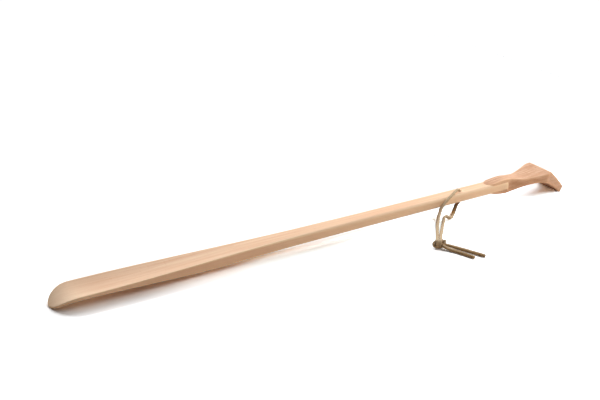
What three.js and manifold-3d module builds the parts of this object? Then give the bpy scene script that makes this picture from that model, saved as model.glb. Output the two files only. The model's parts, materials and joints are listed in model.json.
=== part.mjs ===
// A long-handled wooden shoe horn, in millimetres, +Z up.
// Blade and shaft are one piece of beech. A hooked head is glued over the end of the shaft by a forked joint,
// and a leather thong is tied through a hole near that end.
// +X runs from the blade to the hook, and z = 0 is the surface that the shoe horn lies on.
import * as THREE from "three";
import { mergeVertices } from "three/addons/utils/BufferGeometryUtils.js";
import Module from "manifold-3d";

// Blade and shaft: widths, heights and lengths along X from the tip of the blade
const LENGTH = 653; // tip of the blade to the outermost edge of the hook
const BLADE_WIDTH = 42.6;
const BLADE_LENGTH = 300; // to where the blade has narrowed to the shaft
const TIP_LENGTH = 38; // the blade's rounded end
const TIP_FULLNESS = 2.4; // 2 is a half ellipse, and more is blunter
const SHAFT_WIDTH = 21; // at the end of the blade
const SHAFT_END_WIDTH = 18; // at the head
const SHAFT_THICKNESS = 11;
const TIP_HEIGHT = 13.4; // top line above the surface, carried on straight to the tip
const SHAFT_END_HEIGHT = 23; // top line above the surface, at the shaft's end
const TIP_DROOP = 5.8; // how far the rim bends down below the top line, at the tip
const TIP_DROOP_LENGTH = 54; // the bend starts here
const HOLLOW_DEPTH = 5; // of the blade's hollow, below its rim
const HOLLOW_FULL = 50; // the hollow has its full depth up to here
const HOLLOW_LENGTH = 270; // and has run out here
const RIM_THICKNESS = 3.2; // the blade's edge, at the tip
const RIM_LENGTH = 200; // to where the edge is as thick as the shaft
const WALL_LENGTH = 240; // to where the wood below the hollow is as thick as the shaft
const BLADE_EDGE_ROUND = 0.8;
const SHAFT_EDGE_ROUND = 3;
const CRISP_EDGE_LENGTH = 200; // the blade's edges are crisp up to here
const ROUND_EDGE_LENGTH = 400; // and fully rounded from here on

// Hole for the thong
const HOLE_DIAMETER = 5;
const HOLE_FROM_SHAFT_END = 67;

// Head: lengths back along X from the outermost edge of the hook, heights above the surface
const HEAD_REACH = 73.8; // to the end of the shaft, inside the joint
const UPPER_CHEEK_LENGTH = 28; // the joint's cheeks, back from the end of the shaft
const LOWER_CHEEK_LENGTH = 26;
const CHEEK_THICKNESS = 2.6;
const CHEEK_TIP_THICKNESS = 0.4;
const CREST_BACK = 7; // the cheeks are thickest here, back from the end of the shaft
const NECK_FALL = 0.9; // how much lower the neck is, as far past the end of the shaft
const NECK_WIDTH = 16.4;
const FAN_WIDTH = 42.2;
const HEAD_EDGE_ROUND = 1.2;
const SADDLE_REACH = 51.5; // lowest place of the head's top
const SADDLE_WIDTH = 26;
const SADDLE_HEIGHT = 22.9;
const SADDLE_THICKNESS = 9.6;
const FLARE_REACH = 34; // between the saddle and the ridge
const FLARE_WIDTH = 37.2;
const FLARE_HEIGHT = 24.9;
const FLARE_THICKNESS = 9.1;
const RIDGE_REACH = 17.8; // the edge where the top turns down into the hook
const RIDGE_HEIGHT = 27.8;
const RIDGE_UNDER_REACH = 23.2; // the underside below the ridge
const RIDGE_UNDER_HEIGHT = 12;
const LIP_HEIGHT = 5.9; // outer edge of the hook's lip
const LIP_UNDER_REACH = 7.8; // inner edge of the hook's lip
const LIP_UNDER_HEIGHT = 2.1;
const LIP_FLAT_REACH = 2.6; // the flat that the lip stands on
const LIP_FLAT_WIDTH = 3;

// Leather thong
const THONG_DIAMETER = 2.8;
const KNOT_WIDTH = 10.4;
const KNOT_HEIGHT = 8.6;
const KNOT_PLACE = [-91.2, -82.3, 4.6]; // from the hole's axis, above the surface
const WRAP_DIAMETER = 3.4; // the turn of thong round the knot

const CLEARANCE = 0.3; // between pieces that touch

// How finely the shapes are divided
const SHAFT_STEP = 18;
const TIP_STEPS = 9;
const TIP_FIRST_STEP = 0.8; // where the tip's small end face is, as a share of a step
const HALF_SECTION_STEPS = 5;
const CORNER_STEPS = 3;
const HEAD_STEPS_PER_STATION = 4;
const HOLE_SIDES = 20;
const THONG_SIDES = 8;
const THONG_STEP = 2.4 * THONG_DIAMETER;
const KNOT_SIDES = 16;
const MERGE_DISTANCE = 1e-4;

const TIP_X = -LENGTH / 2;
const HOOK_X = LENGTH / 2;
const SHAFT_END = LENGTH - HEAD_REACH;
const SHAFT_END_X = TIP_X + SHAFT_END;
const HOLE_X = SHAFT_END_X - HOLE_FROM_SHAFT_END;

const { lerp, smoothstep } = THREE.MathUtils;

// Shapes of the horn at a distance from its tip

function topLine(distance) {
  return lerp(TIP_HEIGHT, SHAFT_END_HEIGHT, distance / SHAFT_END);
}

function shaftUnderside(distance) {
  return topLine(distance) - SHAFT_THICKNESS;
}

function fullHalfWidth(distance) {
  const narrowing = smoothstep(distance, TIP_LENGTH, BLADE_LENGTH);
  const taper = Math.max(0, (distance - BLADE_LENGTH) / (SHAFT_END - BLADE_LENGTH));
  const shaft = lerp(SHAFT_WIDTH, SHAFT_END_WIDTH, taper);
  return lerp(BLADE_WIDTH, shaft, narrowing) / 2;
}

function trimmedHalfWidth(distance) {
  const fromRound = Math.max(0, TIP_LENGTH - distance) / TIP_LENGTH;
  return fullHalfWidth(distance) * (1 - fromRound ** TIP_FULLNESS) ** (1 / TIP_FULLNESS);
}

function rimHeight(distance) {
  const bend = Math.max(0, 1 - distance / TIP_DROOP_LENGTH);
  return topLine(distance) - TIP_DROOP * bend ** 2;
}

function hollowDepth(distance) {
  return HOLLOW_DEPTH * (1 - smoothstep(distance, HOLLOW_FULL, HOLLOW_LENGTH));
}

// Underside along the middle, which comes down to the surface at the tip
function belly(distance) {
  const tipThickness = TIP_HEIGHT - TIP_DROOP - HOLLOW_DEPTH;
  const wall = lerp(tipThickness, SHAFT_THICKNESS, smoothstep(distance, 0, WALL_LENGTH));
  return rimHeight(distance) - hollowDepth(distance) - wall;
}

// Points of a rounded corner, after its first point: it runs from `start` to `end` and bends at `corner`
function roundedCorner(start, corner, end) {
  const curve = new THREE.QuadraticBezierCurve(
    new THREE.Vector2(...start),
    new THREE.Vector2(...corner),
    new THREE.Vector2(...end),
  );
  return curve
    .getPoints(CORNER_STEPS)
    .slice(1)
    .map((p) => [p.x, p.y]);
}

// Closes a right-hand half outline, which runs from the top to the underside, by its mirror image
function mirrored(half) {
  const left = half
    .slice(1, -1)
    .reverse()
    .map(([y, ...rest]) => [-y, ...rest]);
  return [...half, ...left];
}

// Cross-section of the horn, as [y, z] points, grown by a margin on every side
function hornSection(distance, margin = 0) {
  const full = fullHalfWidth(distance);
  const half = trimmedHalfWidth(distance) + margin;
  const rim = rimHeight(distance);
  const edge = lerp(RIM_THICKNESS, SHAFT_THICKNESS, smoothstep(distance, TIP_LENGTH, RIM_LENGTH));
  const hollow = hollowDepth(distance);
  const bottom = belly(distance);
  const bulge = Math.max(0, rim - edge - bottom);
  const top = (y) => rim - hollow * (1 - (y / full) ** 2) + margin;
  const under = (y) => bottom + bulge * (y / full) ** 2 - margin;
  const softness = smoothstep(distance, CRISP_EDGE_LENGTH, ROUND_EDGE_LENGTH);
  const round = Math.min(lerp(BLADE_EDGE_ROUND, SHAFT_EDGE_ROUND, softness), half / 2);
  const inner = half - round;
  const points = [];
  for (let i = 0; i <= HALF_SECTION_STEPS; i++) {
    const y = (inner * i) / HALF_SECTION_STEPS;
    points.push([y, top(y)]);
  }
  points.push(...roundedCorner([inner, top(inner)], [half, top(half)], [half, top(half) - round]));
  points.push([half, under(half) + round]);
  points.push(...roundedCorner([half, under(half) + round], [half, under(half)], [inner, under(inner)]));
  for (let i = HALF_SECTION_STEPS - 1; i >= 0; i--) {
    const y = (inner * i) / HALF_SECTION_STEPS;
    points.push([y, under(y)]);
  }
  return mirrored(points).map(([y, z]) => new THREE.Vector3(TIP_X + distance, y, z));
}

// Cross-section of the head between a point [x, z] of its top line and one of its underside line
function headSection(topPoint, underPoint, half) {
  const [topX, topZ] = topPoint;
  const [underX, underZ] = underPoint;
  const height = Math.hypot(topX - underX, topZ - underZ);
  const round = Math.min(HEAD_EDGE_ROUND, height / 3);
  const cut = round / height;
  const inner = half - round;
  const points = [
    [0, 0],
    [inner, 0],
    ...roundedCorner([inner, 0], [half, 0], [half, cut]),
    [half, 1 - cut],
    ...roundedCorner([half, 1 - cut], [half, 1], [inner, 1]),
    [0, 1],
  ];
  return mirrored(points).map(
    ([y, down]) => new THREE.Vector3(lerp(topX, underX, down), y, lerp(topZ, underZ, down)),
  );
}

// A closed skin over cross-sections of equal point counts, which run along +X
function loft(sections) {
  const count = sections[0].length;
  const points = sections.flat();
  const index = [];
  for (let i = 0; i + 1 < sections.length; i++) {
    for (let j = 0; j < count; j++) {
      const a = i * count + j;
      const b = i * count + ((j + 1) % count);
      index.push(a, a + count, b, b, a + count, b + count);
    }
  }
  const addCap = (first, facesForward) => {
    const ring = points.slice(first, first + count);
    const middle = ring.reduce((sum, p) => sum.add(p), new THREE.Vector3()).divideScalar(count);
    const centre = points.push(middle) - 1;
    for (let j = 0; j < count; j++) {
      const a = first + j;
      const b = first + ((j + 1) % count);
      index.push(centre, ...(facesForward ? [b, a] : [a, b]));
    }
  };
  addCap(0, false);
  addCap((sections.length - 1) * count, true);
  return new THREE.BufferGeometry().setFromPoints(points).setIndex(index);
}

// Boolean cuts and joins

const wasm = await Module();
wasm.setup();

function solidOf(geometry) {
  const bare = geometry.clone();
  bare.deleteAttribute("normal");
  bare.deleteAttribute("uv");
  const merged = mergeVertices(bare, MERGE_DISTANCE);
  return new wasm.Manifold(
    new wasm.Mesh({
      numProp: 3,
      vertProperties: merged.getAttribute("position").array,
      triVerts: new Uint32Array(merged.index.array),
    }),
  );
}

function geometryOf(solid) {
  const { vertProperties, triVerts } = solid.getMesh();
  const geometry = new THREE.BufferGeometry();
  geometry.setAttribute("position", new THREE.BufferAttribute(vertProperties, 3));
  geometry.setIndex(new THREE.BufferAttribute(triVerts, 1));
  return geometry;
}

// Materials

const beech = new THREE.MeshStandardMaterial({ color: 0xe6bd98, roughness: 0.55, metalness: 0 });
const headBeech = new THREE.MeshStandardMaterial({ color: 0xd9ab84, roughness: 0.55, metalness: 0 });
const leather = new THREE.MeshStandardMaterial({ color: 0xb39a78, roughness: 0.75, metalness: 0 });

// Blade and shaft, with the hole for the thong

function makeHorn() {
  const distances = [];
  for (let i = 0; i < TIP_STEPS; i++) {
    const turn = ((i + TIP_FIRST_STEP) / (TIP_STEPS + TIP_FIRST_STEP)) * (Math.PI / 2);
    distances.push(TIP_LENGTH * (1 - Math.cos(turn)));
  }
  const steps = Math.ceil((SHAFT_END - TIP_LENGTH) / SHAFT_STEP);
  for (let i = 0; i <= steps; i++) {
    distances.push(lerp(TIP_LENGTH, SHAFT_END, i / steps));
  }
  const body = solidOf(loft(distances.map((distance) => hornSection(distance))));
  const drill = new THREE.CylinderGeometry(
    HOLE_DIAMETER / 2,
    HOLE_DIAMETER / 2,
    2 * SHAFT_END_HEIGHT,
    HOLE_SIDES,
  );
  drill.rotateX(Math.PI / 2);
  drill.translate(HOLE_X, 0, topLine(SHAFT_END - HOLE_FROM_SHAFT_END));
  return new THREE.Mesh(geometryOf(body.subtract(solidOf(drill))), beech);
}

// Head: a fork over the end of the shaft, a waisted neck, a fan and its turned-down hook

function makeHead() {
  const upperStart = SHAFT_END - UPPER_CHEEK_LENGTH;
  const lowerStart = SHAFT_END - LOWER_CHEEK_LENGTH;
  const crest = SHAFT_END - CREST_BACK;
  const skin = CLEARANCE + CHEEK_TIP_THICKNESS;
  const crestSkin = CLEARANCE + CHEEK_THICKNESS;
  const stations = [
    {
      top: [TIP_X + upperStart, topLine(upperStart) + skin],
      under: [TIP_X + lowerStart, shaftUnderside(lowerStart) - skin],
      width: NECK_WIDTH,
    },
    {
      top: [TIP_X + crest, topLine(crest) + crestSkin],
      under: [TIP_X + crest, shaftUnderside(crest) - crestSkin],
      width: NECK_WIDTH,
    },
    {
      top: [SHAFT_END_X + CREST_BACK, SHAFT_END_HEIGHT + crestSkin - NECK_FALL],
      under: [SHAFT_END_X + CREST_BACK, shaftUnderside(SHAFT_END) - crestSkin + NECK_FALL],
      width: NECK_WIDTH,
    },
    {
      top: [HOOK_X - SADDLE_REACH, SADDLE_HEIGHT],
      under: [HOOK_X - SADDLE_REACH, SADDLE_HEIGHT - SADDLE_THICKNESS],
      width: SADDLE_WIDTH,
    },
    {
      top: [HOOK_X - FLARE_REACH, FLARE_HEIGHT],
      under: [HOOK_X - FLARE_REACH, FLARE_HEIGHT - FLARE_THICKNESS],
      width: FLARE_WIDTH,
    },
    {
      top: [HOOK_X - RIDGE_REACH, RIDGE_HEIGHT],
      under: [HOOK_X - RIDGE_UNDER_REACH, RIDGE_UNDER_HEIGHT],
      width: FAN_WIDTH,
    },
  ];
  const curveThrough = (points) => new THREE.SplineCurve(points.map((p) => new THREE.Vector2(...p)));
  const topCurve = curveThrough(stations.map((station) => station.top));
  const underCurve = curveThrough(stations.map((station) => station.under));
  const widthCurve = curveThrough(stations.map((station) => [station.top[0], station.width]));
  const steps = (stations.length - 1) * HEAD_STEPS_PER_STATION;
  const sections = [];
  for (let i = 0; i <= steps; i++) {
    const t = i / steps;
    const half = widthCurve.getPoint(t).y / 2;
    sections.push(headSection(topCurve.getPoint(t).toArray(), underCurve.getPoint(t).toArray(), half));
  }
  const lipTop = [HOOK_X, LIP_HEIGHT];
  const lipUnder = [HOOK_X - LIP_UNDER_REACH, LIP_UNDER_HEIGHT];
  const flatStart = [HOOK_X - LIP_FLAT_REACH, 0];
  const flatEnd = [HOOK_X - LIP_FLAT_REACH - LIP_FLAT_WIDTH, 0];
  sections.push(headSection(lipTop, lipUnder, FAN_WIDTH / 2));
  sections.push(headSection(flatStart, flatEnd, FAN_WIDTH / 2));
  const block = solidOf(loft(sections));

  const slotStart = Math.min(upperStart, lowerStart) - SHAFT_THICKNESS;
  const slotSections = [slotStart, crest, SHAFT_END + CLEARANCE].map((d) => hornSection(d, CLEARANCE));
  const slot = solidOf(loft(slotSections));
  return new THREE.Mesh(geometryOf(block.subtract(slot)), headBeech);
}

// Thong: a lace through the hole whose two runs are tied in a knot, with two free tails.
// Its points are given from the hole's axis, and above the surface.

const UPPER_RUN = [
  [-1.3, -0.7, 22.9],
  [-2.9, -1.5, 24.2],
  [-5.4, -2.8, 24.7],
  [-10.9, -5.7, 24.0],
  [-16.4, -8.7, 23.0],
  [-21.8, -10.8, 21.4],
  [-26.6, -12.0, 19.0],
  [-31.5, -12.7, 15.4],
  [-35.3, -13.1, 11.8],
  [-39.2, -15.3, 7.6],
  [-43.5, -18.7, 4.6],
  [-48.4, -24.3, 2.6],
  [-54.4, -31.5, 1.9],
  [-63.8, -43.5, 1.8],
  [-72.7, -55.8, 2.0],
  [-81.0, -66.7, 2.7],
  [-86.1, -73.5, 3.6],
  [-88.6, -77.5, 4.1],
];
const LOWER_RUN = [
  [0, 0, 10.5],
  [0, 0, 9.6],
  [-1.8, -0.8, 8.2],
  [-5.6, -2.8, 6.6],
  [-9.6, -5.8, 4.7],
  [-14.4, -9.8, 3.0],
  [-20.2, -15.4, 2.0],
  [-26.8, -21.6, 1.8],
  [-31.4, -24.4, 2.4],
  [-34.6, -24.4, 4.2],
  [-37.0, -23.8, 5.2],
  [-40.2, -25.0, 4.6],
  [-44.4, -29.4, 2.5],
  [-51.2, -37.1, 1.8],
  [-61.2, -48.7, 1.8],
  [-70.4, -59.4, 2.0],
  [-76.9, -68.1, 2.6],
  [-81.5, -75.1, 3.5],
  [-86.2, -79.5, 4.1],
];
const LONG_TAIL = [
  [-86.4, -85.2, 4.1],
  [-81.4, -88.9, 2.8],
  [-76.4, -96.4, 1.9],
  [-72.4, -106.4, 1.8],
  [-68.4, -117.6, 1.8],
  [-63.8, -130.2, 1.8],
];
const SHORT_TAIL = [
  [-89.4, -87.6, 3.9],
  [-86.4, -95.8, 2.3],
  [-82.2, -106.4, 1.8],
  [-78.8, -117.4, 1.8],
  [-76.0, -127.2, 1.8],
];

function makeLace(points) {
  const route = new THREE.CatmullRomCurve3(points.map((p) => new THREE.Vector3(...p)));
  const section = new THREE.Shape();
  for (let i = 0; i < THONG_SIDES; i++) {
    const turn = ((i + 0.5) / THONG_SIDES) * 2 * Math.PI;
    const x = (THONG_DIAMETER / 2) * Math.cos(turn);
    const y = (THONG_DIAMETER / 2) * Math.sin(turn);
    if (i === 0) section.moveTo(x, y);
    else section.lineTo(x, y);
  }
  const steps = Math.ceil(route.getLength() / THONG_STEP);
  return new THREE.Mesh(new THREE.ExtrudeGeometry(section, { steps, extrudePath: route }), leather);
}

function makeBoreRun() {
  const top = topLine(SHAFT_END - HOLE_FROM_SHAFT_END);
  const bottom = LOWER_RUN[0][2] + CLEARANCE;
  const radius = THONG_DIAMETER / 2;
  const run = new THREE.CylinderGeometry(radius, radius, top - bottom, THONG_SIDES);
  run.rotateX(Math.PI / 2);
  run.translate(0, 0, (top + bottom) / 2);
  return new THREE.Mesh(run, leather);
}

function makeKnot() {
  const ball = new THREE.SphereGeometry(KNOT_WIDTH / 2, KNOT_SIDES, KNOT_SIDES / 2);
  ball.scale(1, 1, KNOT_HEIGHT / KNOT_WIDTH);
  const wrap = new THREE.TorusGeometry(
    (KNOT_WIDTH - WRAP_DIAMETER) / 2,
    WRAP_DIAMETER / 2,
    THONG_SIDES,
    KNOT_SIDES,
  );
  const knot = new THREE.Mesh(geometryOf(solidOf(ball).add(solidOf(wrap))), leather);
  knot.position.set(...KNOT_PLACE);
  return knot;
}

const shoeHorn = new THREE.Group();

function place(group, name, mesh) {
  mesh.name = name;
  group.add(mesh);
}

place(shoeHorn, "horn", makeHorn());
place(shoeHorn, "hook_head", makeHead());

const thong = new THREE.Group();
thong.position.x = HOLE_X;
shoeHorn.add(thong);
place(thong, "thong_bore_run", makeBoreRun());
place(thong, "thong_upper_run", makeLace(UPPER_RUN));
place(thong, "thong_lower_run", makeLace(LOWER_RUN));
place(thong, "thong_knot", makeKnot());
place(thong, "thong_long_tail", makeLace(LONG_TAIL));
place(thong, "thong_short_tail", makeLace(SHORT_TAIL));

export default shoeHorn;
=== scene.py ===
"""Looks of a long-handled beech shoe horn: blade and shaft, hooked head and knotted leather thong.

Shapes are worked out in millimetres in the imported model's frame: +X runs from the blade to the hook,
+Z is up, and z = 0 is the surface that the shoe horn lies on.
"""

import json
import math

import bmesh
import bpy
import numpy as np
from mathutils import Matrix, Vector


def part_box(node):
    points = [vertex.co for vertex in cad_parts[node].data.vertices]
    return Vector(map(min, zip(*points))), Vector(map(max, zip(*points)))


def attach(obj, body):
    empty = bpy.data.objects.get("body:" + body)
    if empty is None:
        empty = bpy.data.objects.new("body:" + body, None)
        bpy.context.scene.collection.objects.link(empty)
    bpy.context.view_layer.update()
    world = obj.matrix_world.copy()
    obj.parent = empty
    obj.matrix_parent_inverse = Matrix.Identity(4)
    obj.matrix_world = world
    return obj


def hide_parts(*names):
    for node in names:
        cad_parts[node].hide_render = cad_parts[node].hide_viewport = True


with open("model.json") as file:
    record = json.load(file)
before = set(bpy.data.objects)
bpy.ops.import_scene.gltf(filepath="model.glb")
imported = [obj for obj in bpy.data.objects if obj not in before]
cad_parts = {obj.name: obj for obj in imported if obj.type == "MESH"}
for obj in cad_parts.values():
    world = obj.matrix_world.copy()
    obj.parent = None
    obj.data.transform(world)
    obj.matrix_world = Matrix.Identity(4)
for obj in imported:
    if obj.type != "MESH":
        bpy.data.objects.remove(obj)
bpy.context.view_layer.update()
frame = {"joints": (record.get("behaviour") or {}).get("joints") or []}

MM = 0.001

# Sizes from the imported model, and the little that the visual adds to them
BLADE_LONGER = 0.4
BLADE_WIDER = 0.6
FAN_WIDER = 2
horn_low, horn_high = [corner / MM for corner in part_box("horn")]
head_low, head_high = [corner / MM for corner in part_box("hook_head")]
HOOK_X = head_high.x
TIP_X = -HOOK_X - BLADE_LONGER
SHAFT_END_X = horn_high.x
SHAFT_END = SHAFT_END_X - TIP_X
BLADE_WIDTH = horn_high.y - horn_low.y + BLADE_WIDER
WIDEST_WIDTH = head_high.y - head_low.y + FAN_WIDER
RIDGE_HEIGHT = head_high.z
HOLE_X = frame["joints"][0]["pos_m"][0] / MM

# Blade and shaft: lengths along X from the tip of the blade
BLADE_LENGTH = 300
TIP_LENGTH = 30.3
TIP_FULLNESS = 2.13
SHAFT_WIDTH = 21
SHAFT_END_WIDTH = 18
SHAFT_THICKNESS = 11
TIP_HEIGHT = 13.2
SHAFT_END_HEIGHT = 23
TIP_DROOP = 8.3
TIP_DROOP_LENGTH = 31.7
TIP_DROOP_POWER = 2.69
HOLLOW_DEPTH = 3.2
HOLLOW_FULL = 50
HOLLOW_LENGTH = 270
RIM_THICKNESS = 3.9
RIM_LENGTH = 200
WALL_LENGTH = 240
BLADE_EDGE_ROUND = 0.5
SHAFT_EDGE_ROUND = 3.2
CRISP_EDGE_LENGTH = 200
ROUND_EDGE_LENGTH = 400
END_ROUND = 1.4
HOLE_DIAMETER = 5
HOLE_EASE = 0.5

# Head: reaches are back along X from the hook's outer edge, and cheek lengths from the shaft's end
UPPER_CHEEK_LENGTH = 29.5
LOWER_CHEEK_LENGTH = 26
CHEEK_RISE = 2.9
LOWER_CHEEK_DROP = 3.8
CHEEK_TIP_RISE = 0.25
NECK_FALL = 0.9
CREST_BACK = 7
TONGUE_LENGTH = 9
TONGUE_FULLNESS = 2.2
TONGUE_BLUNT = 0.02  # keeps the tongue's first section from closing to a point
TONGUE_WIDTH = 17.8
NECK_WIDTH = 16.4
SADDLE_REACH = 51.5
SADDLE_WIDTH = 26
SADDLE_HEIGHT = 22.9
SADDLE_THICKNESS = 9.6
FLARE_REACH = 34
FLARE_WIDTH = 37.2
FLARE_HEIGHT = 24.9
FLARE_THICKNESS = 9.1
WIDEST_REACH = 23.5
RIDGE_REACH = 17.8
RIDGE_WIDTH = 42.6
RIDGE_UNDER_REACH = 22.4
RIDGE_UNDER_HEIGHT = 13.6
RIDGE_ROUND = 2
RIDGE_CLEAR = 0.3  # kept free of other sections before the ridge's rounding
RIDGE_SPREAD = 0.08  # of a span of the underside line, to each side of the ridge
HOOK_CROWN = 0.7
LIP_WIDTH = 42.8
LIP_HEIGHT = 5.9
LIP_OVER = 1.7
LIP_UNDER_REACH = 7.8
LIP_UNDER_HEIGHT = 3.2
LIP_FLAT_REACH = 2.6
LIP_FLAT_WIDTH = 3
NECK_EDGE_ROUND = 1.8
FAN_EDGE_ROUND = 2.2
FAN_EDGE_SHARES = (0.2, 0.5, 1)
LIP_EDGE_ROUND = 2
MOST_EDGE_ROUND = 0.45  # of a section's height or half its width
JOINT_GAP = 0.06

# Leather thong: points from the hole's axis, and above the surface
LACE_WIDTH = 3.7
LACE_THICKNESS = 3.0
LACE_CORNER = 0.95
UPPER_BORE = [(0, 0, 16.4), (0, 0, 18.4), (-0.2, -0.1, 20.7)]
LOWER_BORE = [(0, 0, 16.4), (0, 0, 13.4)]
UPPER_RUN = [
    (-1.3, -0.7, 22.9), (-2.9, -1.5, 24.2), (-5.4, -2.8, 24.7), (-10.9, -5.7, 24.0),
    (-16.4, -8.7, 23.0), (-21.8, -10.8, 21.4), (-26.6, -12.0, 19.0), (-31.5, -12.7, 15.4),
    (-35.3, -13.1, 11.8), (-39.2, -15.3, 7.6), (-43.5, -18.7, 4.6), (-48.4, -24.3, 2.6),
    (-54.4, -31.5, 1.9), (-63.8, -43.5, 1.8), (-72.7, -55.8, 2.0), (-81.0, -66.7, 2.7),
    (-86.1, -73.5, 3.6), (-88.6, -77.5, 4.1),
]
LOWER_RUN = [
    (0, 0, 10.5), (0, 0, 9.6), (-1.8, -0.8, 8.2), (-5.6, -2.8, 6.6),
    (-9.6, -5.8, 4.7), (-14.4, -9.8, 3.0), (-20.2, -15.4, 2.0), (-26.8, -21.6, 1.8),
    (-31.4, -24.4, 2.4), (-34.6, -24.4, 4.2), (-37.0, -23.8, 5.2), (-40.2, -25.0, 4.6),
    (-44.4, -29.4, 2.5), (-51.2, -37.1, 1.8), (-61.2, -48.7, 1.8), (-70.4, -59.4, 2.0),
    (-76.9, -68.1, 2.6), (-81.5, -75.1, 3.5), (-86.2, -79.5, 4.1),
]
LONG_TAIL = [
    (-86.4, -85.2, 4.1), (-81.4, -88.9, 2.8), (-76.4, -96.4, 1.9), (-72.4, -106.4, 1.8),
    (-68.4, -117.6, 1.8), (-63.8, -130.2, 1.8),
]
SHORT_TAIL = [
    (-89.4, -87.6, 3.9), (-86.4, -95.8, 2.3), (-82.2, -106.4, 1.8), (-78.8, -117.4, 1.8),
    (-76.0, -127.2, 1.8),
]

# Knot: its place from the hole, and strands from its middle, onwards along the runs, to their left, and up
KNOT_PLACE = (-91.2, -82.3)
KNOT_OVER = [
    [(-5.6, -1.8, 4.6), (-3.8, -1.3, 7.0), (-1.0, -0.7, 8.4), (1.6, -0.3, 7.8), (3.4, 0.0, 5.6),
     (3.8, 0.2, 3.4), (3.0, 0.4, 2.2)],
    [(-5.9, 1.3, 4.6), (-4.0, 1.8, 7.0), (-1.0, 2.3, 8.3), (1.7, 2.5, 7.6), (3.5, 2.6, 5.4),
     (3.8, 2.6, 3.4), (3.0, 2.5, 2.2)],
]
KNOT_COLLAR = [
    [(-2.2, 1.6, 7.0), (-0.4, -2.0, 7.6), (1.4, -4.3, 6.0), (2.2, -4.6, 3.6), (2.4, -2.6, 2.0),
     (2.4, 1.0, 1.8), (1.8, 4.0, 2.4), (-0.4, 5.2, 4.0), (-2.8, 3.6, 5.2), (-4.0, 0.6, 5.0),
     (-3.4, -2.8, 4.0), (-0.6, -3.8, 2.4), (1.2, -0.6, 3.2), (1.4, 2.8, 4.6), (0.6, 5.2, 4.8)],
]
KNOT_EAR = [
    [(-2.4, 2.8, 5.0), (-3.6, 4.5, 7.0), (-3.7, 6.1, 7.8), (-2.8, 6.9, 6.7), (-1.6, 6.0, 5.1),
     (-0.8, 4.6, 4.0)],
]

# Along a strand, as (share of its length, value): its twist in degrees, its age, where values from 1 to 2
# paint shade, and its size
UPPER_TWIST = [(0, 0), (0.2, 0), (0.45, 40), (0.7, 15), (1, 0)]
UPPER_AGE = [(0, 0.5), (0.12, 0.25), (0.28, 0.2), (0.34, 0), (0.5, 0), (0.62, 0.28), (1, 0.3)]
UPPER_SIZE = [(0, 0.8), (0.25, 0.85), (0.4, 1.05), (1, 1)]
LOWER_TWIST = [(0, 60), (0.15, 60), (0.25, 15), (0.42, 60), (0.6, 25), (1, 0)]
# Values of 2 at the start paint shade on the stretch that hangs in the shaft's shadow below the hole
LOWER_AGE_AND_SHADE = [(0, 2), (0.17, 2), (0.27, 0.8), (0.36, 0.15), (0.6, 0.3), (1, 0.3)]
LOWER_SIZE = [(0, 1.3), (0.15, 1.3), (0.23, 1.08), (0.28, 1), (1, 1)]
LONG_TAIL_TWIST = [(0, 0), (1, 25)]
LONG_TAIL_AGE = [(0, 0.55), (0.4, 0.7), (1, 0.85)]
SHORT_TAIL_TWIST = [(0, 0), (1, -20)]
SHORT_TAIL_AGE = [(0, 0.45), (0.5, 0.65), (1, 0.8)]
TAIL_SIZE = [(0, 0.95), (1, 0.9)]
KNOT_TWIST = [(0, 0), (1, 0)]
KNOT_SIZE = [(0, 0.85), (1, 0.85)]
OVER_AGE = [(0, 0.2), (0.35, 0.2), (0.6, 0.3), (1, 0.6)]
COLLAR_AGE = [(0, 0.2), (0.2, 0.2), (0.32, 0.7), (1, 0.65)]
EAR_AGE = [(0, 0.4), (0.5, 0.05), (1, 0.4)]

# Cut ends of a strand, and how its size waves along it, with turns in radians per millimetre
STRAND_END_ROUND = 0.4
LONG_TAIL_END_ROUND = 1.2
KNOT_END_ROUND = 0.6
LACE_END_SIZE = 0.65
SLOW_WAVE = 0.03
SLOW_WAVE_TURN = 0.9
QUICK_WAVE = 0.02
QUICK_WAVE_TURN = 2.3
LEAST_LEVEL = 0.3  # below which a stretch counts as upright

# Wood: cycles per millimetre of each pattern along X, Y and Z, and steps of (pattern's value, result)
WANDER_SCALE = (0.006, 0.03, 0.03)
WANDER_REACH = (0, 7, 7)
GRAIN_RUNOUT = 0.02
RING_STEPS = [(0, 0.05), (0.5, 0.22), (0.82, 0.75), (0.93, 1.0), (1.0, 0.05)]
YEAR_STEPS = [(0, 0.35), (1, 1.0)]
FIBRE_SCALE = (0.03, 1.7, 1.7)
FIBRE_STEPS = [(0.35, 1.0), (0.62, 0.0)]
FIBRE_ROUGHNESS = [(0.3, 0.58), (0.7, 0.7)]
RAY_SCALE = (0.42, 0.1, 2.4)  # along the grain, outwards and round the heart
RAY_STEPS = [(0.60, 0.0), (0.70, 1.0)]
RAY_GROOVE = 0.4
TONE_SCALE = (0.009, 0.06, 0.06)
TONE_STEPS = [(0.38, 0.0), (0.62, 1.0)]
STREAK_ALONG = 0.004
STREAK_STEPS = [(0.34, 1.0), (0.6, 0.0)]
PORE_SCALE = (0.8, 0.8, 0.8)
PORE_STEPS = [(0.4, 0.1), (0.6, 0.6)]
WOOD_BUMP = 0.05
WOOD_GLOSS = 0.14

# Worn edges with a painted highlight, a tip lightened with painted light, sides toned with painted shade
# and light, and short grain on the hook, with lengths back from its edge
WEAR_AND_HIGHLIGHT_BULGE = (0.2, 0.7)
TIP_PAINTED_LIGHT = 0.5
TIP_PAINTED_LIGHT_LENGTH = 60
SIDE_SHADING_FACING = (0.3, 0.6)
SIDE_SHADING_TURN = (-120, 120)
SHORT_GRAIN_FROM = 30
SHORT_GRAIN_FULL = 16
SHORT_GRAIN_HEIGHTS = (20, 26)
SHORT_GRAIN_TONE = (222, 192, 170)

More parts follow.
